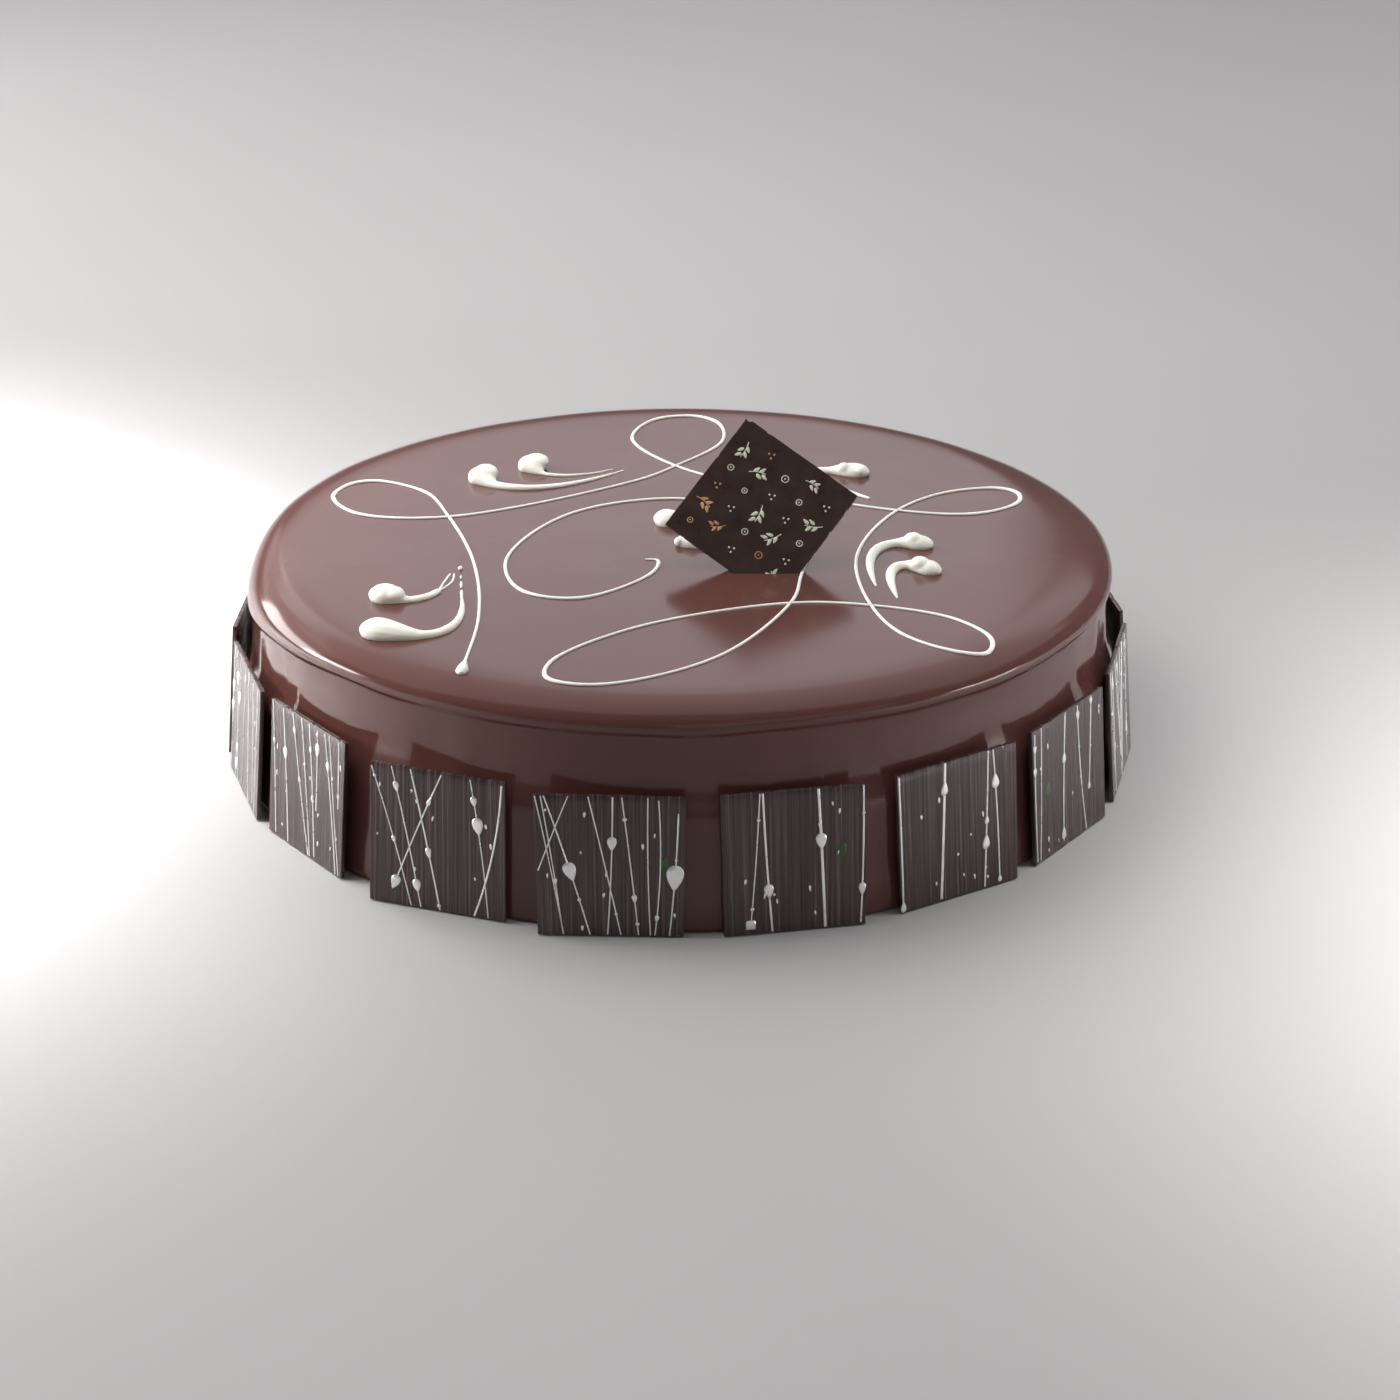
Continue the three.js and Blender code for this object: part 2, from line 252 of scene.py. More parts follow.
def whiteChocolate():
    finish, tree, shader = newFinish(
        "whiteChocolate", IOR=1.46, Subsurface_Weight=0.4, Subsurface_Scale=0.002)
    shader.inputs["Subsurface Radius"].default_value = (1, 0.95, 0.85)
    cream = grainOf(tree, 160)
    colourBy(tree, shader, cream, (0.3, (0.95, 0.92, 0.81)), (0.7, (0.97, 0.95, 0.86)))
    roughBy(tree, shader, cream, 0.34, 0.46)
    bumps(tree, shader, grainOf(tree, 900), 0.1, 0.0002)
    return finish


def temperedChocolate():  # long upright streaks, as drawn on an acetate sheet
    finish, tree, shader = newFinish("temperedChocolate", IOR=1.45, Coat_Weight=0.2, Coat_Roughness=0.1)
    streaks = grainOf(tree, 1500, 4, "UV", (1, 0.012, 1))
    stops = [(0.33, (0.028, 0.016, 0.017)), (0.54, (0.064, 0.038, 0.040)), (0.72, (0.145, 0.098, 0.094))]
    colourBy(tree, shader, streaks, *stops)
    roughBy(tree, shader, streaks, 0.12, 0.3)
    bumps(tree, shader, grainOf(tree, 2600, 3, "UV", (1, 0.02, 1)), 0.12, 0.0001)
    return finish


def paintedLitEdge(name, dark, light):  # the cut edge of a chocolate plate, painted lighter than the plate's face as a painted highlight where the thin edge catches the light
    finish, tree, shader = newFinish(name, IOR=1.47)
    crumb = grainOf(tree, 700, 3)
    colourBy(tree, shader, crumb, (0.35, dark), (0.68, light))
    roughBy(tree, shader, crumb, 0.25, 0.42)
    bumps(tree, shader, crumb, 0.35, 0.0003)
    return finish


def plaqueChocolate():
    finish, tree, shader = newFinish("plaqueChocolate", IOR=1.47)
    cloud = grainOf(tree, 220, 3)
    colourBy(tree, shader, cloud, (0.3, (0.034, 0.018, 0.015)), (0.7, (0.052, 0.029, 0.024)))
    roughBy(tree, shader, cloud, 0.26, 0.38)
    bumps(tree, shader, grainOf(tree, 1400), 0.1, 0.0001)
    return finish


def printInk(name, dark, light, metal):  # coloured cocoa butter from a transfer sheet
    finish, tree, shader = newFinish(name, IOR=1.46, Metallic=metal)
    patch = grainOf(tree, 260)
    colourBy(tree, shader, patch, (0.32, dark), (0.66, light))
    roughBy(tree, shader, patch, 0.26, 0.36)
    return finish


glazeFinish = mirrorGlaze()
creamFinish = whiteChocolate()
panelFinish = temperedChocolate()
# painted highlight: the panels' cut edges are painted a light grey-brown, much lighter than the chocolate,
# where their thin top edges catch the light
panelEdgePaintedHighlight = paintedLitEdge("panelEdgePaintedHighlight", (0.16, 0.12, 0.115), (0.38, 0.31, 0.30))
plaqueFinish = plaqueChocolate()
# painted light: the plaque's cut edge is painted redder and lighter than its face, standing in for light
# from the left glowing through the thin edge
plaqueEdgePaintedGlow = paintedLitEdge("plaqueEdgePaintedGlow", (0.030, 0.012, 0.008), (0.105, 0.036, 0.020))
pearlInk = printInk("pearlInk", (0.86, 0.87, 0.88), (0.95, 0.95, 0.96), 0.75)
ivoryInk = printInk("ivoryInk", (0.66, 0.68, 0.52), (0.84, 0.86, 0.70), 0.15)
leafInk = printInk("leafInk", (0.030, 0.075, 0.022), (0.060, 0.130, 0.040), 0.1)
goldInk = printInk("goldInk", (0.56, 0.29, 0.13), (0.78, 0.45, 0.22), 0.2)
print("finishes mixed")


# The glazed body: a cylinder drawn in, its rim rolled over, its wall left rippled by the running glaze

glazeBody = {
    "rimRadius": 120 * mm,
    "height": 60 * mm,
    "rimRounding": 9.5 * mm,
    "rimStart": 104 * mm,  # where the top begins to fall away to the rim
    "rimEase": 2.6,
    "rimFall": 5.5 * mm,  # how far it falls there, and how much more where the glaze ran low at the left
    "rimSag": 6.5 * mm,
    "sagShift": 10 * mm,  # how far in front of the middle it ran lowest
    "sagWidth": 0.36,  # in radians round the rim
    "rimWave": 0.7 * mm,
    "waveLength": 26 * mm,
    "lipRadius": 3 * mm,  # the set glaze overhangs the wall in a lip that ends in a crease
    "lipDepth": 2.6 * mm,
    "lipFade": (26 * mm, 15 * mm),
    "flare": 4 * mm,
    "footRounding": 1.2 * mm,
    "sides": 480,
    "rimSegments": 16,
    "footSegments": 4,
    "wallCuts": 59,
    "topInsets": 52,
    "plainFoot": 6 * mm,  # the wall is plain up to here, and fully rippled from footFade on
    "footFade": 14 * mm,
    "rimFade": 8 * mm,  # how far below the rim the ripple takes to begin
    "broadRipple": 0.5 * mm,
    "broadSize": (17 * mm, 85 * mm),  # round the wall and up it
    "streakRipple": 0.36 * mm,
    "streakSize": (6 * mm, 70 * mm),
}


def ripple(point, across, along):  # smooth noise with swells of these two lengths
    spot = Vector((point.x / across, point.y / across, point.z / along))
    return noise.noise(spot, noise_basis="PERLIN_NEW")


def rimFall(x, y):  # how far the rolled rim lies below the top, not the same all round
    spec = glazeBody
    fromLeft = math.atan2(y + spec["sagShift"], -x)
    sag = math.exp(-((fromLeft / spec["sagWidth"]) ** 2))
    wave = ripple(Vector((x, y, 0)), spec["waveLength"], 1)
    return spec["rimFall"] + spec["rimSag"] * sag + spec["rimWave"] * wave


def rimDrop(x, y):  # how far the glaze has fallen below the top at a place
    spec = glazeBody
    share = (math.hypot(x, y) - spec["rimStart"]) / (spec["rimRadius"] - spec["rimStart"])
    return rimFall(x, y) * (1 - math.sqrt(1 - min(1, max(0, share)) ** spec["rimEase"]))


def topHeight(x, y):  # the glaze falls away over the rolled rim
    return glazeBody["height"] - rimDrop(x, y)


def lipUnder(below):  # how far the wall lies back under the lip
    spec = glazeBody
    curl = min(max(0, below), spec["lipDepth"])
    depth = spec["lipRadius"] - math.sqrt(spec["lipRadius"] ** 2 - curl**2)
    return depth * smoothStep(*spec["lipFade"], below)


def makeGlaze():
    spec = glazeBody
    top = spec["height"]
    wallTop = top - spec["rimRounding"]
    flatRadius = spec["rimRadius"] - spec["rimRounding"]
    baseRadius = spec["rimRadius"] + spec["flare"]
    topRadius = baseRadius - spec["flare"] * top / wallTop
    near = mm / 10  # for finding edges by their height
    clearSelection()
    bpy.ops.mesh.primitive_cylinder_add(
        vertices=spec["sides"], radius=baseRadius, depth=top, location=(0, 0, top / 2))
    piece = nameIt("glaze")
    bakePlace(piece)
    enter("EDIT")
    choose(piece, "VERT", lambda v: v.co.z > top / 2)
    bpy.ops.transform.resize(value=(topRadius / baseRadius, topRadius / baseRadius, 1))
    choose(piece, "EDGE", lambda e: min(v.co.z for v in e.verts) > top - near)
    bpy.ops.mesh.bevel(offset=spec["rimRounding"], segments=spec["rimSegments"], affect="EDGES")
    choose(piece, "EDGE", lambda e: max(v.co.z for v in e.verts) < near)
    bpy.ops.mesh.bevel(offset=spec["footRounding"], segments=spec["footSegments"], affect="EDGES")
    choose(piece, "EDGE", lambda e: abs(e.verts[0].co.z - e.verts[1].co.z) > wallTop / 2)
    bpy.ops.mesh.subdivide(number_cuts=spec["wallCuts"])
    choose(piece, "FACE", lambda f: f.normal.z > 0.9 and len(f.verts) > 4)
    for ring in range(spec["topInsets"]):
        bpy.ops.mesh.inset(thickness=flatRadius / (spec["topInsets"] + 0.5), depth=0)
    bpy.ops.mesh.poke()
    enter("OBJECT")
    for vertex in piece.data.vertices:
        rippleGlaze(vertex, wallTop)
    bpy.ops.object.shade_smooth()
    return piece


def rippleGlaze(vertex, wallTop):
    spec = glazeBody
    foot = spec["plainFoot"]
    point = vertex.co.copy()
    outward = Vector((point.x, point.y, 0))
    rimFoot = spec["height"] - rimFall(point.x, point.y)
    if point.z > wallTop + mm / 50:  # the top and the rolled rim
        vertex.co.z = topHeight(point.x, point.y)
    elif point.z > foot:  # the wall, only ever moved inwards, clear of the panels
        share = min(1, (point.z - foot) / (wallTop - foot))
        vertex.co.z = lerp(foot, rimFoot, share)
        below = rimFoot - vertex.co.z
        onWall = smoothStep(0, spec["rimFade"], below) * smoothStep(foot, spec["footFade"], point.z)
        broad = 0.5 + 0.5 * ripple(point, *spec["broadSize"])
        streak = 0.5 + 0.5 * ripple(point, *spec["streakSize"])
        shift = spec["broadRipple"] * broad + spec["streakRipple"] * streak
        vertex.co -= outward.normalized() * (shift * onWall + lipUnder(below))


glaze = makeGlaze()
dress(glaze, glazeFinish, "glaze", "cake")
print("glaze poured:", len(glaze.data.polygons), "faces")


# The scroll: one white line piped in loops, thicker where the hand slows in a bend

scrollLine = {
    "start": [(-54.5, -97.2), (-52.3, -60), (-56, -20)],
    "loops": [  # neck, tip, the two flanks' distances from the line between, and where it goes next
        {"neck": (-65.2, 15.6), "tip": (-95.1, 43), "flanks": (-9.6, 15.6), "after": [(-13.1, 45.6)]},
        {"neck": (-1.4, 58.6), "tip": (3.1, 104), "flanks": (-11.5, 15.5), "after": [(24.5, 38.8)]},
        {"neck": (61.8, 20.8), "tip": (96.9, 35.6), "flanks": (-11, 7.9), "after": [(48.9, -14.2)]},
        {"neck": (51, -51.6), "tip": (79.1, -82.3), "flanks": (-8.3, 9.3), "after": []},
        {"neck": (29.7, -50), "tip": (-32.4, -101), "flanks": (-12.5, 16.3), "after": []},
    ],
    "curl": [
        (33, -30.5), (35, -10), (23.5, 18.3), (-1.5, 30.5), (-29.8, 19.3), (-47.1, -17.2),
        (-41.1, -41.9), (-26.4, -46.4), (-7.8, -29.1), (-5.9, -18.4), (-9.4, -17.8),
    ],
    "flankAt": 0.5,
    "shoulderAt": 0.9,
    "shoulderNarrowing": 0.7,
    "width": 0.86 * mm,
    "bendWidth": 0.46 * mm,
    "slowRadius": 11 * mm,
    "wobble": 0.07,  # how unsteady the width is, and how fast that changes from step to step
    "wobblePace": 0.11,
    "wobbleRow": 3.7,  # the row of the noise that it reads
    "step": 0.8 * mm,
    "lookAhead": 4,  # steps over which a bend is read
    "lift": 0.16 * mm,
    "slump": 0.72,  # how low the bead settles before it sets
    "blobRadius": 1.75 * mm,
    "blobLength": 9 * mm,
    "blobRounding": 0.4 * mm,
    "endTaper": 8 * mm,
    "endWidth": 0.5,
    "roundness": 3,
}


def loopPoints(loop):
    neck, tip = Vector(loop["neck"]), Vector(loop["tip"])
    axis = tip - neck
    left = leftOf(axis).normalized()
    out, back = loop["flanks"]
    narrow = scrollLine["shoulderNarrowing"]
    flank, shoulder = scrollLine["flankAt"], scrollLine["shoulderAt"]
    return [
        neck,
        neck + axis * flank + left * out,
        neck + axis * shoulder + left * out * narrow,
        tip,
        neck + axis * shoulder + left * back * narrow,
        neck + axis * flank + left * back,
        neck,
    ]


def curveThrough(knots, perKnot=40):  # a smooth line through all the knots, even where they crowd
    knots = [knots[0] * 2 - knots[1], *knots, knots[-1] * 2 - knots[-2]]
    line = []
    for a, b, c, d in zip(knots, knots[1:], knots[2:], knots[3:]):
        gapAB, gapBC, gapCD = (math.sqrt((q - p).length) for p, q in ((a, b), (b, c), (c, d)))
        slopeB = ((b - a) / gapAB - (c - a) / (gapAB + gapBC) + (c - b) / gapBC) * gapBC
        slopeC = ((c - b) / gapBC - (d - b) / (gapBC + gapCD) + (d - c) / gapCD) * gapBC
        for i in range(perKnot):
            t = i / perKnot
            line.append(
                b * (2 * t**3 - 3 * t**2 + 1) + slopeB * (t**3 - 2 * t**2 + t)
                + c * (3 * t**2 - 2 * t**3) + slopeC * (t**3 - t**2))
    return [*line, knots[-2]]


def evenSteps(line, step):
    even, left = [line[0]], step
    for a, b in zip(line, line[1:]):
        span = (b - a).length
        while span > 0 and left <= span:
            a = a.lerp(b, left / span)
            even.append(a)
            span = (b - a).length
            left = step
        left -= span
    return even


def makeScroll():
    spec = scrollLine
    knots = [Vector(p) for p in spec["start"]]
    for loop in spec["loops"]:
        knots += loopPoints(loop) + [Vector(p) for p in loop["after"]]
    knots += [Vector(p) for p in spec["curl"]]
    line = evenSteps([knot * mm for knot in curveThrough(knots)], spec["step"])
    span = spec["lookAhead"]
    points, radii = [], []
    for i, place in enumerate(line):
        before = place - line[max(i - span, 0)]
        ahead = line[min(i + span, len(line) - 1)] - place
        turn = before.angle(ahead) if before.length and ahead.length else 0
        slowing = min(1, turn * spec["slowRadius"] / (span * spec["step"]))
        wobble = 1 + spec["wobble"] * noise.noise(Vector((i * spec["wobblePace"], spec["wobbleRow"], 0)))
        radius = (spec["width"] + spec["bendWidth"] * slowing) / 2 * wobble
        fromStart = i * spec["step"]
        radius = lerp(spec["blobRadius"], radius, smoothStep(0.1, 1, fromStart / spec["blobLength"]))
        radius *= math.sqrt(min(1, (fromStart + spec["blobRounding"]) / spec["blobRadius"]))
        toEnd = (len(line) - 1 - i) * spec["step"]
        radius *= lerp(spec["endWidth"], 1, smoothStep(0, spec["endTaper"], toEnd))
        points.append((place.x, place.y, topHeight(place.x, place.y) + spec["lift"]))
        radii.append(radius)
    piece = tubeAlong("scroll", points, radii, spec["roundness"])
    for vertex in piece.data.vertices:
        level = topHeight(vertex.co.x, vertex.co.y) + spec["lift"]
        vertex.co.z = level + (vertex.co.z - level) * spec["slump"]
    bpy.ops.object.shade_smooth()
    return piece


scroll = makeScroll()
dress(scroll, creamFinish, "white_chocolate")
print("scroll piped:", len(scroll.data.polygons), "faces")


# The drops: each a piped head drawn out into a tail round an elbow, with lobes where the cream folded over

# Places and sizes are in mm. A head is its length and width. The fall is how far it takes to narrow to the
# neck, and the slip how far the head lies to the left of the tail's line. A lobe is its place along, to the
# left of and above the rear, and its own length, width and height.

dropShapes = {
    "drop_left_1": {
        "rear": (-82.3, -46.3), "elbow": (-63, -55), "tip": (-61.2, -28), "head": (11, 8.2), "fall": 7,
        "slip": 1.2, "neck": 2.7, "end": 1.3, "taper": 1.2, "lobes": [(6.6, 1.5, 0, 6.4, 6, 3.8)],
        "split": 0.62},
    "drop_left_2": {
        "rear": (-82.3, -70.3), "elbow": (-53, -83), "tip": (-57.6, -46), "head": (12, 8.6), "fall": 14,
        "slip": 0.6, "neck": 3.3, "end": 0.9, "taper": 1.6, "lobes": [], "crumbs": (-59.3, -25)},
    "drop_back_left_1": {
        "rear": (-61.5, 48), "elbow": (-44, 27), "tip": (-16.3, 55), "head": (9.4, 8), "fall": 7,
        "slip": 1.6, "neck": 3.2, "end": 0.7, "taper": 1.1, "lobes": [(4, 3.2, 0.6, 7.4, 7, 3.9)]},
    "drop_back_left_2": {
        "rear": (-47.3, 58.5), "elbow": (-37, 43), "tip": (-19.5, 56), "head": (9.4, 8), "fall": 7,
        "slip": 1.6, "neck": 2, "end": 0.6, "taper": 0.8, "lobes": [(3.8, 3.6, 0.5, 7.6, 7, 3.7)]},
    "drop_back_right_1": {
        "rear": (55, 50.5), "elbow": (20, 62), "tip": (54.6, 30.5), "head": (9.5, 6.4), "fall": 9,
        "slip": 0, "neck": 3.4, "end": 1, "taper": 1.2,
        "lobes": [(7.2, 1.1, 0.3, 4.2, 3.6, 3.2), (2.4, 1.2, 0.1, 4, 3.6, 2.9)]},
    "drop_back_right_2": {
        "rear": (33, 57.5), "elbow": (12, 68), "tip": (22, 45), "head": (9, 7), "fall": 8,
        "slip": 0, "neck": 3.2, "end": 0.9, "taper": 1.4, "lobes": [(5.8, 1.2, 0.4, 5, 4, 3.2)]},
    "drop_right_1": {
        "rear": (70, -8.5), "elbow": (47.8, 2), "tip": (53, -38), "head": (9, 6.2), "fall": 8,
        "slip": 0.3, "neck": 3.3, "end": 0.7, "taper": 2.2, "lobes": [(5.4, 0.9, 0.5, 5.4, 4.6, 3.3)]},
    "drop_right_2": {
        "rear": (71, -28.6), "elbow": (53, -12), "tip": (58.3, -46.5), "head": (9.5, 6.2), "fall": 8,
        "slip": 0.6, "neck": 3.4, "end": 0.7, "taper": 2.2, "lobes": [(6, 1.6, 0.5, 5.6, 4.8, 3.4)]},
    "drop_middle_1": {
        "rear": (-7, 12.2), "elbow": (14, 3), "tip": (15, 19), "head": (9.5, 7.6), "fall": 9,
        "slip": 0.4, "neck": 3, "end": 0.9, "taper": 1.4, "lobes": [(6, 1, 0.3, 5, 5, 3.4)]},
    "drop_middle_2": {
        "rear": (-1.3, -5.8), "elbow": (22, -16), "tip": (24, 4), "head": (8.6, 5.6), "fall": 8,
        "slip": 1.2, "neck": 2.8, "end": 0.9, "taper": 1.4,
        "lobes": [(1.6, -0.4, 0, 3, 2.8, 2.4), (4.4, 1.4, 0.3, 4.4, 3.6, 3)]},
}
piping = {
    "voxel": 0.27 * mm, "smoothings": 6, "sink": 0.06 * mm, "step": 0.4 * mm,
    "crest": 0.42, "rise": 0.22, "squash": 0.84, "lump": 0.12 * mm, "lumpSize": 2.6 * mm,
    "lumpRise": 2 * mm, "lobeMiddle": 0.45, "lobeHeight": 1.1, "bendSteps": 60,
    "strand": 0.3 * mm, "strandGap": 1 * mm,
    "crumbs": ((-0.05, 0.27, 0.42), (0.34, 0.56, 0.38), (0.66, 0.77, 0.36)),  # from, until and radius in mm
    "lastCrumb": (1.7, 1.4, 1.3), "lastCrumbLift": 0.25 * mm,
}


def ball(middle, heading, length, width, height):  # an ellipsoid turned to the heading
    clearSelection()
    bpy.ops.mesh.primitive_uv_sphere_add(segments=28, ring_count=16, radius=0.5)
    piece = bpy.context.object
    turn = math.atan2(heading.y, heading.x)
    piece.matrix_world = (
        Matrix.Translation(middle) @ Matrix.Rotation(turn, 4, "Z")
        @ Matrix.Diagonal((length, width, height, 1)))
    bakePlace(piece)
    return piece


def bend(rear, elbow, tip, t):
    return rear * (1 - t) ** 2 + elbow * 2 * t * (1 - t) + tip * t**2


def girth(shape, along, total):  # half the width at a place along, and how much of it is still head
    length, width = shape["head"]
    crest = piping["crest"] * length * mm
    if along < crest:
        return width / 2 * mm * math.sqrt(max(0.004, 1 - (1 - along / crest) ** 2)), 1
    still = 1 - smoothStep(crest, crest + shape["fall"] * mm, along)
    drawn = ((along - crest) / (total - crest)) ** shape["taper"]
    return lerp(lerp(shape["neck"], shape["end"], drawn), width, still) / 2 * mm, still


def bodyOf(shape, path, glazeTop):
    step = piping["step"]
    total = step * (len(path) - 1)
    points, radii = [], []
    for i, place in enumerate(path[: int(len(path) * shape.get("split", 1))]):
        heading = (path[min(i + 1, len(path) - 1)] - path[max(i - 1, 0)]).normalized()
        radius, still = girth(shape, i * step, total)
        place = place + leftOf(heading) * shape["slip"] * mm * still
        points.append((place.x, place.y, glazeTop + radius * piping["rise"]))
        radii.append(radius)
    piece = tubeAlong("body", points, radii, 5)
    for vertex in piece.data.vertices:
        vertex.co.z = glazeTop + (vertex.co.z - glazeTop) * piping["squash"]
    return piece


def thread(spots, radius, glazeTop):  # a hair of cream
    line = evenSteps(spots, piping["step"])
    points = [(p.x, p.y, glazeTop + radius * 0.3) for p in line]
    ends = min(3, len(line) // 2)
    radii = [radius * lerp(0.5, 1, min(1, min(i, len(line) - 1 - i) / ends)) for i in range(len(line))]
    return tubeAlong("thread", points, radii, 3)


def hairsOf(shape, path, glazeTop):
    hairs = []
    if "split" in shape:  # the tail parts into two strands that meet again
        start, tip = path[int(len(path) * shape["split"]) - 2], path[-1]
        side = leftOf(tip - start).normalized() * piping["strandGap"]
        middle = path[int(len(path) * (1 + shape["split"]) / 2)]
        for hand in (-1, 1):
            spots = curveThrough([start, middle + side * hand, tip + side * hand * 0.5], 12)
            hairs.append(thread(spots, piping["strand"], glazeTop))
    if "crumbs" in shape:  # the last of the line, broken up
        tip, last = path[-1], Vector(shape["crumbs"]) * mm
        for first, until, radius in piping["crumbs"]:
            hairs.append(thread([tip.lerp(last, first), tip.lerp(last, until)], radius * mm, glazeTop))
        sizes = [size * mm for size in piping["lastCrumb"]]
        hairs.append(ball((*last, glazeTop + piping["lastCrumbLift"]), last - tip, *sizes))
    return hairs


def makeDrop(name, shape):
    glazeTop = glazeBody["height"]
    rear, elbow, tip = (Vector(shape[key]) * mm for key in ("rear", "elbow", "tip"))
    heading = (elbow - rear).normalized()
    left = leftOf(heading)
    steps = piping["bendSteps"]
    path = evenSteps([bend(rear, elbow, tip, i / steps) for i in range(steps + 1)], piping["step"])
    parts = [bodyOf(shape, path, glazeTop)]
    for along, across, lift, long, wide, tall in shape["lobes"]:
        place = rear + (heading * along + left * across) * mm
        level = glazeTop + (lift + piping["lobeMiddle"] * tall) * mm
        height = piping["lobeHeight"] * tall * mm
        parts.append(ball((*place, level), heading, long * mm, wide * mm, height))
    piece = joinAll(parts, name + "_cream")
    applyModifier(piece, "REMESH", mode="VOXEL", voxel_size=piping["voxel"])
    applyModifier(piece, "SMOOTH", factor=0.5, iterations=piping["smoothings"])
    for vertex in piece.data.vertices:  # slight lumps, as cream keeps from the bag
        rise = smoothStep(glazeTop, glazeTop + piping["lumpRise"], vertex.co.z)
        size = piping["lumpSize"]
        vertex.co += vertex.normal * piping["lump"] * rise * ripple(vertex.co, size, size)
    piece = joinAll([piece, *hairsOf(shape, path, glazeTop)], piece.name)
    enter("EDIT")
    bpy.ops.mesh.select_all(action="SELECT")
    bpy.ops.mesh.bisect(
        plane_co=(0, 0, glazeTop - piping["sink"]), plane_no=(0, 0, 1), use_fill=True, clear_inner=True)
    enter("OBJECT")
    bpy.ops.object.shade_smooth_by_angle(angle=math.radians(50))
    return piece


for dropName, dropShape in dropShapes.items():
    drop = makeDrop(dropName, dropShape)
    dress(drop, creamFinish, "white_chocolate", dropName)
print("drops piped:", len(dropShapes))


# Thin plates, the plaque and the panels: a grid laid on the solid's own face, its edges left as cut by hand

onEdge = ((-1, -1), (1, -1), (1, 1), (-1, 1))  # where the corners lie of a plate that stands on an edge
onCorner = ((0, -1), (1, 0), (0, 1), (-1, 0))  # and of one that stands on a corner
plateMaking = {
    "edgeZone": 0.12,  # the share of the plate that its edge's wandering reaches
    "chipFrom": 0.35,
    "bevelAngle": 55,
    "smoothAngle": 40,
    "edgeSlope": 0.75,  # faces turned further from the showing face than this are cut edge
}


def faceOf(nodeName, outward, stance):  # the plane and the four corners of a plate's showing face
    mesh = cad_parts[nodeName].data
    showing = [p for p in mesh.polygons if p.normal.dot(outward) > 0]
    normal = max(showing, key=lambda p: p.area).normal.copy()
    rise = (up - normal * up.dot(normal)).normalized()
    across = rise.cross(normal)
    spots = {i for p in showing if p.normal.dot(normal) > 0.9999 for i in p.vertices}
    places = [mesh.vertices[i].co.copy() for i in spots]
    middle = sum(places, Vector()) / len(places)
    flat = [Vector(((p - middle).dot(across), (p - middle).dot(rise))) for p in places]
    corners = []
    for towards in stance:
        corners.append(max(flat, key=lambda q: q.dot(Vector(towards))))
    return {"middle": middle, "normal": normal, "across": across, "rise": rise, "corners": corners}


def spotOn(face, s, t):  # s from the left edge to the right, t from the bottom to the top
    a, b, c, d = face["corners"]
    return a.lerp(b, s).lerp(d.lerp(c, s), t)


def placeOn(face, spot, height):
    return face["middle"] + face["across"] * spot.x + face["rise"] * spot.y + face["normal"] * height


def makePlate(name, face, spec, seed):
    clearSelection()
    bpy.ops.mesh.primitive_grid_add(x_subdivisions=spec["columns"], y_subdivisions=spec["rows"], size=1)
    piece = nameIt(name)
    draw = Vector((seed * 7.31, seed * 3.17, 0))  # each plate reads its noise from another place
    for vertex in piece.data.vertices:
        s, t = vertex.co.x + 0.5, vertex.co.y + 0.5
        spot = spotOn(face, s, t)
        inward = Vector((0.5 - s, 0.5 - t))
        for axis, share in ((0, s), (1, t)):  # edges cut by hand, wandering a little
            nearEdge = smoothStep(plateMaking["edgeZone"], 0, min(share, 1 - share))
            wander = noise.noise(draw + Vector((spot.x, spot.y, axis * 5)) / spec["wanderLength"])
            chip = noise.noise(draw + Vector((spot.y, spot.x, 9)) / spec["chipLength"])
            chip = max(0, chip - plateMaking["chipFrom"])
            spot[axis] += math.copysign(1, inward[axis]) * nearEdge * (
                spec["wander"] * (0.5 + 0.5 * wander) + spec["chip"] * chip)
        ridge = noise.noise(draw + Vector((spot.x / spec["ridgeWidth"], spot.y / spec["ridgeLength"], 0)))
        bow = noise.noise(draw + Vector((spot.x, spot.y, 40)) / spec["bowLength"])
        height = spec["ridge"] * (ridge - 1) / 2 + spec["bow"] * (bow - 1) / 2
        vertex.co = placeOn(face, spot, height)
    # The finish's streaks are laid out in lengths, and differ from plate to plate
    for loop in piece.data.uv_layers[0].data:
        loop.uv = (loop.uv.x * spec["size"] + seed * 0.173, loop.uv.y * spec["size"] + seed * 0.091)
    applyModifier(piece, "SOLIDIFY", thickness=spec["thickness"], offset=-1)
    applyModifier(
        piece, "BEVEL", width=spec["edge"], segments=2, limit_method="ANGLE",
        angle_limit=math.radians(plateMaking["bevelAngle"]))
    bpy.ops.object.shade_smooth_by_angle(angle=math.radians(plateMaking["smoothAngle"]))
    for polygon in piece.data.polygons:  # the cut edges get their own finish, painted lighter: a painted highlight on the panels and a painted lit glow on the plaque
        if abs(polygon.normal.dot(face["normal"])) < plateMaking["edgeSlope"]:
            polygon.material_index = 1
    return piece


# Prints: low raised strokes and drops on a plate's face, in millimetres on the plate

relief = {  # how far a mark is let into the plate, and how high each kind stands
    "sink": 0.05, "stroke": 0.08, "tear": 0.16, "bead": 0.2, "block": 0.22,
    "stray": 0.07, "fleck": 0.05, "stalk": 0.07, "leaf": 0.09, "ring": 0.07, "dot": 0.08,
}
tearShapes = {  # length and width by the drop's size, and how drawn out its tip is
    "down": (1.8, 1, 1.5),
    "up": (1.8, 1, 1.5),
    "spade": (1.7, 1.08, 1.1),
}


def freshPrint():
    return {"points": [], "faces": []}


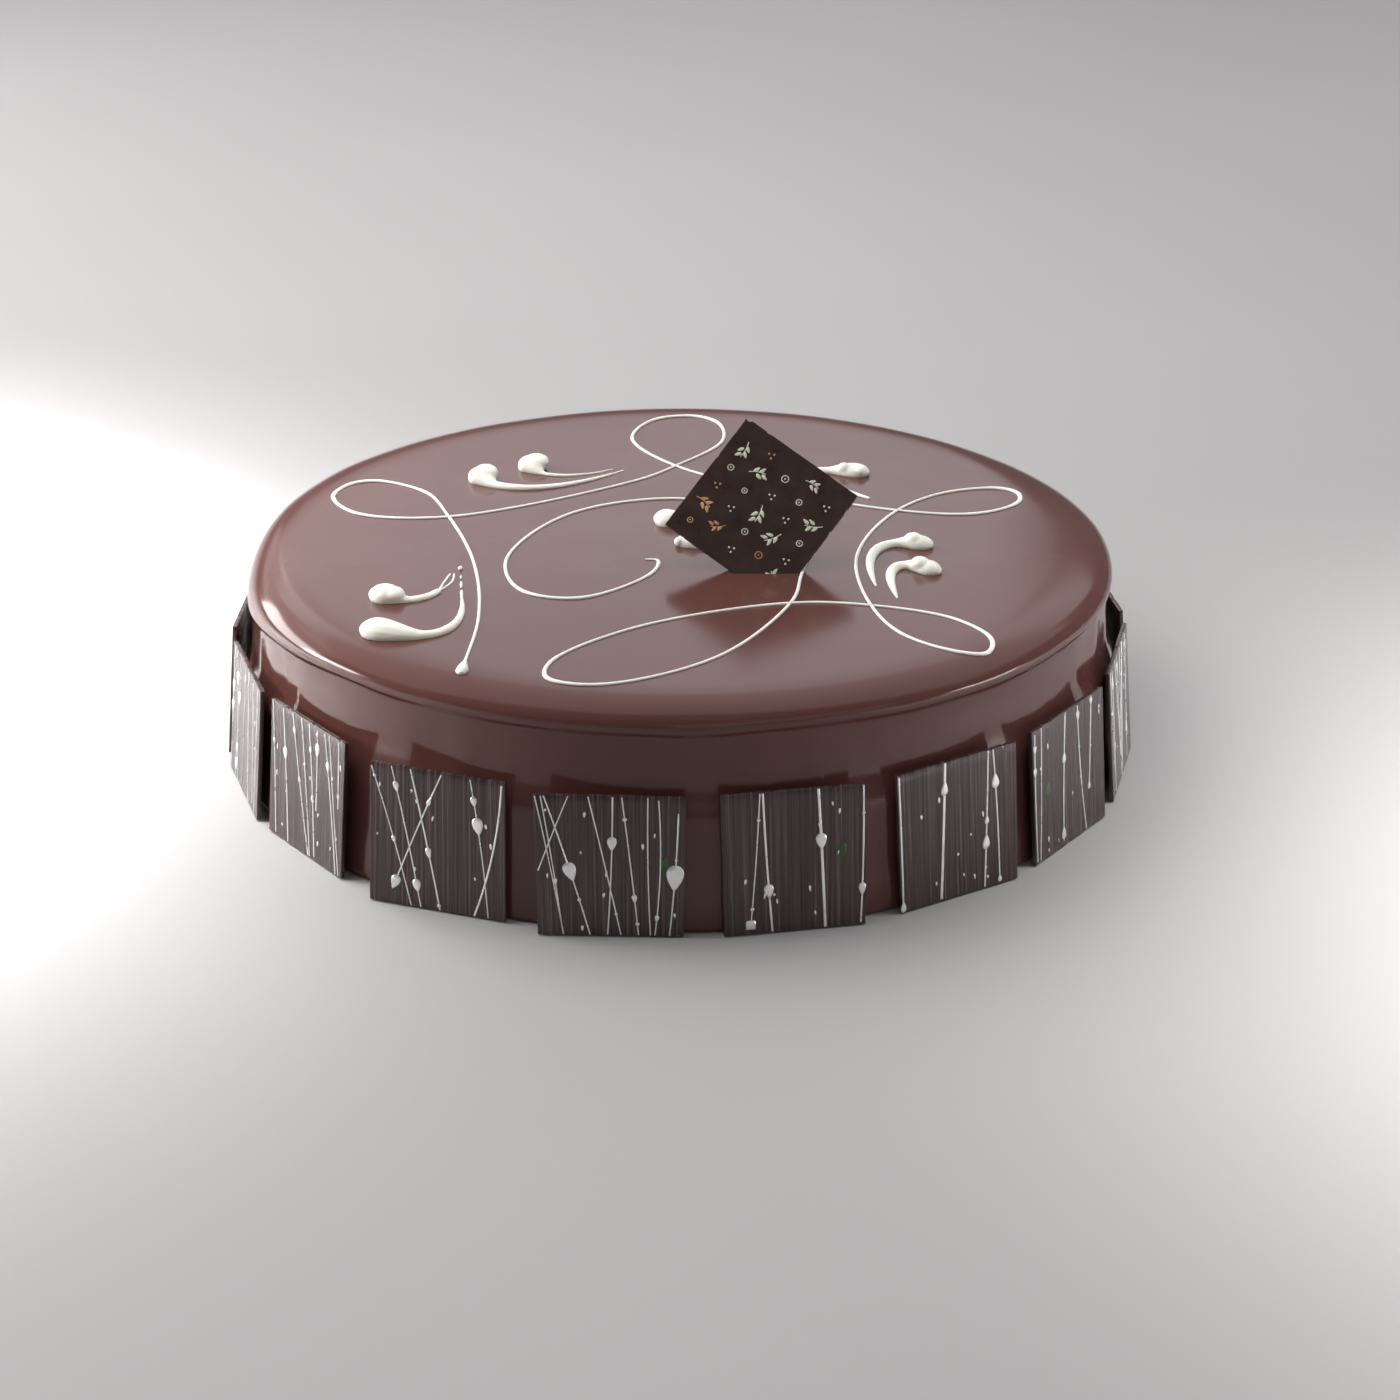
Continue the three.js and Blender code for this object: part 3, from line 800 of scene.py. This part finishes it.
def addStroke(sheet, line, widths, height):  # a low ridge along a line, closed underneath
    first = len(sheet["points"])
    sink = relief["sink"]
    for i, place in enumerate(line):
        heading = (line[min(i + 1, len(line) - 1)] - line[max(i - 1, 0)]).normalized()
        left = leftOf(heading) * widths[i] / 2
        for side, level in ((1, -sink), (0.7, height * 0.75), (-0.7, height * 0.75), (-1, -sink)):
            spot = place + left * side
            sheet["points"].append((spot.x, spot.y, level))
    for i in range(len(line) - 1):
        for j in range(4):
            a = first + i * 4 + j
            b = first + i * 4 + (j + 1) % 4
            sheet["faces"].append((a, a + 4, b + 4, b))
    last = first + (len(line) - 1) * 4
    sheet["faces"].append((first, first + 1, first + 2, first + 3))
    sheet["faces"].append((last + 3, last + 2, last + 1, last))


def addDome(sheet, outline, height):  # a low dome inside an outline that runs anticlockwise
    first, count = len(sheet["points"]), len(outline)
    sink = relief["sink"]
    middle = sum(outline, Vector((0, 0))) / count
    for share, level in ((1, -sink), (0.94, height * 0.6), (0.6, height)):
        for spot in outline:
            place = middle.lerp(spot, share)
            sheet["points"].append((place.x, place.y, level))
    for ring in range(2):
        for j in range(count):
            a = first + ring * count + j
            b = first + ring * count + (j + 1) % count
            sheet["faces"].append((a, b, b + count, a + count))
    sheet["faces"].append(tuple(first + 2 * count + j for j in range(count)))
    sheet["faces"].append(tuple(first + j for j in reversed(range(count))))


def tearOutline(place, towards, length, width, point, count=18):  # its tip lies towards the heading
    side = leftOf(towards)
    outline = []
    for i in range(count):
        turn = 2 * math.pi * i / count
        across = width / 2 * math.sin(turn) * abs(math.sin(turn / 2)) ** point * 1.3
        outline.append(place + towards * (length / 2 * math.cos(turn)) + side * across)
    return outline


def roundOutline(place, width, height, count=12):
    turns = [2 * math.pi * i / count for i in range(count)]
    return [place + Vector((math.cos(a) * width / 2, math.sin(a) * height / 2)) for a in turns]


def addBead(sheet, kind, place, heading, size):
    if kind == "block":
        half = size / 2
        corners = [
            (-half, -half), (half, -half), (half, half * 0.8),
            (half * 0.6, half), (-half * 0.6, half), (-half, half * 0.8),
        ]
        outline = [place + Vector(corner) for corner in corners]
        addDome(sheet, outline, relief["block"])
    elif kind == "bead":
        addDome(sheet, roundOutline(place, size, size * 0.9), relief["bead"])
    else:  # a drop with its tip down the line or up it
        long, wide, point = tearShapes[kind]
        towards = -heading if kind == "up" else heading
        addDome(sheet, tearOutline(place, towards, size * long, size * wide, point), relief["tear"])


def strokeLine(start, end, bow, steps=16):
    middle = (start + end) / 2
    run = end - start
    middle += leftOf(run).normalized() * bow
    return [bend(start, middle * 2 - (start + end) / 2, end, i / steps) for i in range(steps + 1)]


# Strokes of the six front panels: where each starts and ends on the plate, as shares from the left and down
# from the top, its bow and width in mm, and its drops, each by share along, kind and size.
frontStrokes = {
    2: [
        ((0.03, 0.02), (0.10, 0.98), 0.2, 0.4, [(0.30, "down", 1.2)]),
        ((0.17, 0.02), (0.27, 1), 0.3, 0.55, [(0.34, "down", 2.2), (0.62, "bead", 0.8)]),
        ((0.30, 0), (0.55, 1), -0.3, 0.5, [(0.13, "down", 1.4), (0.46, "up", 1.3)]),
        ((0.42, 0.01), (0.57, 1), 0.2, 0.45, [(0.33, "bead", 0.9)]),
        ((0.52, 0.02), (0.63, 0.97), 0.4, 0.5, [(0.2, "down", 1.2), (0.55, "up", 1.6)]),
        ((0.63, 0.03), (0.64, 0.62), 0.2, 0.5, [(0.05, "bead", 1.1), (0.26, "down", 2.4)]),
        ((0.73, 0.02), (0.92, 1), 0.3, 0.55, [(0.24, "down", 1.7)]),
        ((0.79, 0), (0.96, 1), -0.2, 0.4, []),
        ((0.91, 0.02), (0.93, 0.5), 0.1, 0.45, [(0.8, "up", 1.3)]),
    ],
    3: [
        ((0.01, 0.03), (0.31, 1), 0.4, 0.42, [(0.07, "bead", 0.9), (0.53, "down", 1.3)]),
        ((0.16, 0), (0.38, 1), 0.3, 0.45,
         [(0.15, "down", 1.8), (0.4, "bead", 0.6), (0.85, "spade", 2.2)]),
        ((0.30, 0), (0.52, 1), 0.2, 0.55, [(0.6, "down", 1.9), (0.97, "bead", 1.1)]),
        ((0.53, 0.02), (0.19, 0.84), -0.2, 0.5, [(0.25, "up", 1.3), (1, "spade", 2.5)]),
        ((0.74, 0.02), (0.87, 1), 0.5, 0.42, [(0.16, "spade", 1.7), (0.34, "spade", 2.9)]),
        ((0.97, 0.03), (0.77, 1), 1.4, 0.62, []),
    ],
    4: [
        ((0, 0.01), (0.18, 1), 0.2, 0.4, []),
        ((0.05, 0), (0.17, 0.93), 0.2, 0.42, [(0.66, "down", 1.2)]),
        ((0.07, 0), (0.36, 1), 0.3, 0.5, [(0.55, "spade", 3.2), (0.75, "bead", 1)]),
        ((0.23, 0), (0.02, 0.54), -0.1, 0.45, []),
        ((0.36, 0), (0.57, 1), 0.1, 0.45, [(0.85, "bead", 0.8)]),
        ((0.52, 0), (0.48, 1), 0.3, 0.5, [(0.34, "spade", 2.3)]),
        ((0.58, 0), (0.69, 1), 0.1, 0.45,
         [(0.16, "bead", 1.2), (0.74, "down", 1.5), (0.92, "bead", 1.1)]),
        ((0.75, 0), (0.77, 1), -0.3, 0.42, []),
        ((0.82, 0.03), (0.80, 1), 0.9, 0.45, [(0.88, "down", 1.2)]),
        ((0.95, 0.12), (0.90, 1), 0.3, 0.5, [(0.38, "bead", 0.8), (0.53, "spade", 4.2)]),
    ],
    5: [
        ((0.27, 0), (0.19, 0.93), 0.2, 0.45,
         [(0.2, "bead", 1), (0.88, "bead", 1.1), (1, "block", 2.5)]),
        ((0.29, 0), (0.34, 1), -0.2, 0.62, [(0.71, "spade", 2.4)]),
        ((0.67, 0.01), (0.71, 1), 0.1, 0.85, [(0.38, "spade", 2.7)]),
        ((0.98, 0), (0.96, 0.98), 0.3, 0.55, [(0.2, "bead", 0.9), (0.76, "down", 2.1)]),
    ],
    6: [
        ((0.02, 0.02), (0.02, 0.98), 0.1, 0.65, [(0.97, "up", 1.9)]),
        ((0.40, 0), (0.34, 0.98), 0.1, 0.95, [(0.18, "up", 2.4)]),
        ((0.76, 0), (0.71, 1), 0.1, 0.6, [(0.5, "up", 1.5), (0.66, "up", 2.5)]),
        ((0.80, 0), (0.84, 0.98), 0.3, 0.5, [(0.23, "up", 2.6), (0.97, "up", 1.3)]),
    ],
    7: [
        ((0.04, 0.03), (0.03, 0.98), -0.3, 0.5, [(0.12, "down", 1.6), (0.3, "down", 1.7)]),
        ((0.13, 0), (0.07, 1), 0.2, 0.45, []),
        ((0.46, 0), (0.40, 0.96), -0.4, 0.55, [(0.34, "up", 1.9), (0.93, "up", 2.2)]),
        ((0.63, 0.02), (0.72, 1), -0.8, 0.5, [(0.08, "down", 1.7), (0.32, "bead", 0.7)]),
        ((0.82, 0), (0.77, 0.68), 0.2, 0.5,
         [(0.06, "down", 1.5), (0.55, "bead", 0.9), (0.98, "up", 1.4)]),
    ],
}
panelStrokes = {  # for the panels that aren't at the front, in the same shares and mm
    "first": (0.03, 0.12), "gap": (0.08, 0.2), "last": 0.97, "lean": (-0.2, 0.2), "footReach": (0.02, 0.98),
    "top": (0, 0.04), "foot": (0.93, 1), "bow": (-0.6, 0.6), "width": (0.4, 0.68),
    "beadPlaces": (0.1, 0.22, 0.35, 0.5, 0.63, 0.77, 0.9), "beadCounts": (0, 1, 1, 2, 3),
    "kinds": ("down", "down", "up", "spade", "bead"), "beadSize": (0.8, 1.2), "dropSize": (1.3, 3),
}
printHand = {"seed": 100, "margin": 0.012, "waver": (0.75, 0.88)}
stray = {
    "count": 10, "within": (0.05, 0.95), "long": (0.7, 1.9), "wide": (0.3, 0.55), "lean": (-0.2, 0.2),
    "fullness": 1.3, "tip": 0.6, "sides": 10,
}
leafFlecks = {
    "front": {4: (0.86, 0.52), 5: (0.83, 0.55), 7: (0.2, 0.5)}, "behind": (12, 15),
    "across": (0.2, 0.8), "up": (0.3, 0.7), "long": 3.8, "wide": 2.2, "tip": 0.5, "lean": (0.22, 1),
}


def drawnStrokes(rng):  # strokes of the same hand for a panel that isn't at the front
    spec = panelStrokes
    leftmost, rightmost = spec["footReach"]
    strokes = []
    s = rng.uniform(*spec["first"])
    while s < spec["last"]:
        footAt = min(rightmost, max(leftmost, s + rng.uniform(*spec["lean"])))
        beads = []
        beadCount = rng.choice(spec["beadCounts"])
        for along in sorted(rng.sample(spec["beadPlaces"], beadCount)):
            kind = rng.choice(spec["kinds"])
            size = rng.uniform(*spec["beadSize" if kind == "bead" else "dropSize"])
            beads.append((along, kind, size))
        start = (s, rng.uniform(*spec["top"]))
        end = (footAt, rng.uniform(*spec["foot"]))
        bow = rng.uniform(*spec["bow"])
        width = rng.uniform(*spec["width"])
        strokes.append((start, end, bow, width, beads))
        s += rng.uniform(*spec["gap"])
    return strokes


def inside(share):  # keeps a stroke's end just clear of the plate's edge
    return min(1 - printHand["margin"], max(printHand["margin"], share))


def printPanel(name, face, strokes, rng):
    sheet = freshPrint()
    for start, end, bow, width, beads in strokes:
        ends = [spotOn(face, inside(s), inside(1 - t)) / mm for s, t in (start, end)]
        line = strokeLine(*ends, bow)
        widths = [width * rng.uniform(*printHand["waver"]) for place in line]
        addStroke(sheet, line, widths, relief["stroke"])
        for share, kind, size in beads:
            at = min(len(line) - 2, int(share * (len(line) - 1)))
            place = line[at].lerp(line[at + 1], share * (len(line) - 1) - at)
            addBead(sheet, kind, place, (line[at + 1] - line[at]).normalized(), size)
    for mark in range(stray["count"]):  # dashes and flecks between the lines
        place = spotOn(face, rng.uniform(*stray["within"]), rng.uniform(*stray["within"])) / mm
        long, wide = rng.uniform(*stray["long"]), rng.uniform(*stray["wide"]) * stray["fullness"]
        heading = Vector((rng.uniform(*stray["lean"]), -1)).normalized()
        outline = tearOutline(place, heading, long, wide, stray["tip"], stray["sides"])
        addDome(sheet, outline, relief["stray"])
    return printPiece(name, face, sheet)


def printFleck(name, face, number, rng):  # the odd green fleck, a leaf lying upright on the plate
    spec = leafFlecks
    sheet = freshPrint()
    drawn = (rng.uniform(*spec["across"]), rng.uniform(*spec["up"]))
    place = spotOn(face, *spec["front"].get(number, drawn)) / mm
    lean = Vector(spec["lean"]).normalized()
    addDome(sheet, tearOutline(place, lean, spec["long"], spec["wide"], spec["tip"]), relief["fleck"])
    return printPiece(name, face, sheet)


def printPiece(name, face, sheet):
    points = [placeOn(face, Vector((x, y)) * mm, h * mm) for x, y, h in sheet["points"]]
    piece = meshPiece(name, points, sheet["faces"])
    enter("EDIT")
    bpy.ops.mesh.select_all(action="SELECT")
    bpy.ops.mesh.normals_make_consistent(inside=False)
    enter("OBJECT")
    bpy.ops.object.shade_smooth_by_angle(angle=math.radians(60))
    return piece


# The panels, each laid on its own solid and printed

panelPlate = {
    "columns": 120, "rows": 14, "size": 38 * mm, "thickness": 1.2 * mm, "edge": 0.18 * mm,
    "wander": 0.3 * mm, "wanderLength": 6 * mm, "chip": 1.2 * mm, "chipLength": 2.2 * mm,
    "ridge": 0.012 * mm, "ridgeWidth": 0.9 * mm, "ridgeLength": 60 * mm,
    "bow": 0.1 * mm, "bowLength": 30 * mm,
}
panelCount = sum(name.startswith("panel_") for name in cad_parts)
for number in range(1, panelCount + 1):
    nodeName = f"panel_{number:02d}"
    low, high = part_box(nodeName)
    outward = Vector((low.x + high.x, low.y + high.y, 0)).normalized()
    panelFace = faceOf(nodeName, outward, onEdge)
    plate = makePlate(f"plate_{number:02d}", panelFace, panelPlate, number)
    dress(plate, [panelFinish, panelEdgePaintedHighlight], "panel_chocolate", nodeName)
    rng = random.Random(printHand["seed"] + number)
    strokes = frontStrokes.get(number) or drawnStrokes(rng)
    marks = printPanel(f"print_{number:02d}", panelFace, strokes, rng)
    dress(marks, pearlInk, "pearl_print")
    if number in leafFlecks["front"] or number in leafFlecks["behind"]:
        fleck = printFleck(f"fleck_{number:02d}", panelFace, number, rng)
        dress(fleck, leafInk, "pearl_print")
print("panels set:", panelCount)


# The plaque, a square standing on a corner, with small sprigs, rings and dots printed on it

plaquePlate = {
    "columns": 60, "rows": 60, "size": 38 * mm, "thickness": 2 * mm, "edge": 0.25 * mm,
    "wander": 0.25 * mm, "wanderLength": 5 * mm, "chip": 1.6 * mm, "chipLength": 2 * mm,
    "ridge": 0.02 * mm, "ridgeWidth": 8 * mm, "ridgeLength": 8 * mm,
    "bow": 0.1 * mm, "bowLength": 25 * mm, "seed": 31,
}
plaqueFace = faceOf("plaque", Vector((0, -1, 0)), onCorner)
plaque = makePlate("plaque_plate", plaqueFace, plaquePlate, plaquePlate["seed"])
dress(plaque, [plaqueFinish, plaqueEdgePaintedGlow], "plaque_chocolate", "plaque")
print("plaque set")

plaquePrint = {
    "rows": 5, "perRow": 5, "margin": 0.13, "seed": 12, "inks": ("ivory", "ivory", "gold"),
    "sprigScale": (0.85, 1.1), "ringSize": (0.7, 1), "pip": 0.5,
    "dotTurns": (0.3, 2.4, 4.5), "dotReach": 0.8, "dot": 0.62,
}
sprigPrint = {  # the stalk below and above its middle, and the leaves by place along and hand
    "below": 2.6, "above": 2.2, "bow": 0.35, "stalkSteps": 8, "stalk": 0.24, "stalkLeast": 0.06,
    "leaves": ((-1.3, 1), (-0.5, -1), (0.4, 1), (1.1, -1)), "leaf": (2.1, 0.95),
    "spread": 0.9, "rootOut": 0.2, "leafOut": 0.55, "tip": 0.7, "sides": 12,
}
ringPrint = {"steps": 14, "width": 0.3}


def towardsTurn(turn):
    return Vector((math.cos(turn), math.sin(turn)))


def addSprig(sheet, place, heading, scale):
    spec = sprigPrint
    leafLong, leafWide = (size * scale for size in spec["leaf"])
    side = leftOf(heading)
    foot, head = place - heading * spec["below"] * scale, place + heading * spec["above"] * scale
    stalk = strokeLine(foot, head, spec["bow"], spec["stalkSteps"])
    stalkWidth = spec["stalk"] * scale + spec["stalkLeast"]
    addStroke(sheet, stalk, [stalkWidth] * len(stalk), relief["stalk"])
    for along, hand in spec["leaves"]:
        direction = (heading + side * hand * spec["spread"]).normalized()
        root = place + heading * along * scale + side * hand * spec["rootOut"]
        middle = root + direction * leafLong * spec["leafOut"]
        outline = tearOutline(middle, direction, leafLong, leafWide, spec["tip"], spec["sides"])
        addDome(sheet, outline, relief["leaf"])


def addRing(sheet, place, size):
    steps = ringPrint["steps"]
    turns = [2 * math.pi * i / steps for i in range(steps + 1)]
    line = [place + towardsTurn(turn) * size for turn in turns]
    addStroke(sheet, line, [ringPrint["width"]] * len(line), relief["ring"])


def makePlaquePrints():
    spec = plaquePrint
    rng = random.Random(spec["seed"])
    sheets = {"ivory": freshPrint(), "gold": freshPrint()}
    for row in range(spec["rows"]):
        for column in range(spec["perRow"]):
            along = (column + 0.5 * (row % 2)) / (spec["perRow"] - 0.5)  # odd rows lie half a step on
            s = lerp(spec["margin"], 1 - spec["margin"], along)
            t = lerp(spec["margin"], 1 - spec["margin"], row / (spec["rows"] - 1))
            place = spotOn(plaqueFace, s, t) / mm
            sheet = sheets[rng.choice(spec["inks"])]
            motif = (row + 2 * column) % 3
            if motif == 0:
                turn = rng.uniform(0, 2 * math.pi)
                addSprig(sheet, place, towardsTurn(turn), rng.uniform(*spec["sprigScale"]))
            elif motif == 1:
                addRing(sheet, place, rng.uniform(*spec["ringSize"]))
                addDome(sheet, roundOutline(place, spec["pip"], spec["pip"], 8), relief["dot"])
            else:
                for turn in spec["dotTurns"]:
                    spot = place + towardsTurn(turn) * spec["dotReach"]
                    addDome(sheet, roundOutline(spot, spec["dot"], spec["dot"], 10), relief["dot"])
    for name, ink in (("ivory", ivoryInk), ("gold", goldInk)):
        marks = printPiece(f"plaque_{name}", plaqueFace, sheets[name])
        dress(marks, ink, "pearl_print")


makePlaquePrints()
print("plaque printed")


# Stage: pale floor, soft studio light, and the camera at the photograph's angle

studio = {
    "floorSize": 9,
    "surround": (0.95, 0.94, 0.95),
    "surroundStrength": 0.15,
}
onCake, warm, cool = (0, 0, 0.03), (1, 0.99, 0.98), (0.97, 0.96, 1)
softboxes = {  # place, width, height, watts and tint, then the aim and the spread where they differ
    "key": ((-0.64, 0.18, 0.84), 1, 1, 10, warm),
    "leftRim": ((-0.92, 0.56, 0.28), 0.6, 0.34, 4.6, warm),
    "left": ((-1.08, 0.09, 0.22), 0.45, 0.26, 7.4, warm),
    "leftBehind": ((-1.05, 1.05, 0.65), 1.4, 0.8, 2.6, warm),
    "behindLow": ((-0.25, 2.41, 0.72), 1.2, 0.22, 0.45, cool),
    "behind": ((-0.25, 2.34, 0.93), 1.2, 0.22, 1.06, cool),
    "behindHigh": ((0, 2, 1.22), 2.4, 0.57, 3.8, cool),
    "bank": ((0, 0.9, 1.5), 3.6, 2, 14, cool, (0, 0.9, 0)),
    "upperRight": ((1.1, 0.2, 1.05), 1.2, 1.2, 5.2, warm),
    "front": ((1, -2, 0.85), 2.4, 1.2, 3.6, warm),
    "strip": ((1.28, -0.24, 0.04), 0.5, 0.03, 2.6, warm),
    "leftWash": ((-0.53, 0.09, 0.9), 0.3, 0.3, 3.4, warm, (-0.40, 0.03, 0), 32),
    "leftGlow": ((-0.32, 0.13, 0.9), 0.12, 0.12, 1.5, warm, (-0.29, 0.11, 0), 16),
    "rightWash": ((0.52, -0.1, 0.9), 0.3, 0.3, 2.2, warm, (0.42, -0.14, 0), 32),
}
# These light the cake without showing as patches in the glaze
fills = ("key", "upperRight", "leftWash", "rightWash")
photoView = {
    "lens": 88,
    "sensor": 36,
    "stand": (0.00573, -0.8918, 0.3971),
    "aim": (0.00573, 0, 0.01048),
}


def makeFloor():
    clearSelection()
    bpy.ops.mesh.primitive_plane_add(size=studio["floorSize"])
    floor = nameIt("floor")
    finish, tree, shader = newFinish("paleFloor", Roughness=0.65)
    cast = grainOf(tree, 3)
    colourBy(tree, shader, cast, (0.3, (0.40, 0.39, 0.39)), (0.7, (0.42, 0.41, 0.41)))
    floor.data.materials.append(finish)
    floor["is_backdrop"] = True


def addSoftbox(name, place, width, height, watts, tint, aim=onCake, spread=180):
    clearSelection()
    bpy.ops.object.light_add(type="AREA", location=place)
    box = nameIt("softbox_" + name)
    box.rotation_euler = (Vector(aim) - Vector(place)).to_track_quat("-Z", "Y").to_euler()
    box.data.shape = "RECTANGLE"
    box.data.size = width
    box.data.size_y = height
    box.data.energy = watts
    box.data.color = tint
    box.data.spread = math.radians(spread)
    box.visible_glossy = name not in fills


def makeLights():
    world = bpy.data.worlds.new("studio")
    world.use_nodes = True
    bpy.context.scene.world = world
    surround = world.node_tree.nodes["Background"]
    surround.inputs["Color"].default_value = (*studio["surround"], 1)
    surround.inputs["Strength"].default_value = studio["surroundStrength"]
    for name, settings in softboxes.items():
        addSoftbox(name, *settings)


def makeCamera():
    clearSelection()
    stand, aim = Vector(photoView["stand"]), Vector(photoView["aim"])
    bpy.ops.object.camera_add(location=stand)
    camera = nameIt("photoCamera")
    camera.rotation_euler = (aim - stand).to_track_quat("-Z", "Y").to_euler()
    camera.data.sensor_width = photoView["sensor"]
    camera.data.lens = photoView["lens"]
    bpy.context.scene.camera = camera


makeFloor()
makeLights()
makeCamera()
bpy.context.scene.view_settings.view_transform = "Standard"
print("stage set")

low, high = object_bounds()
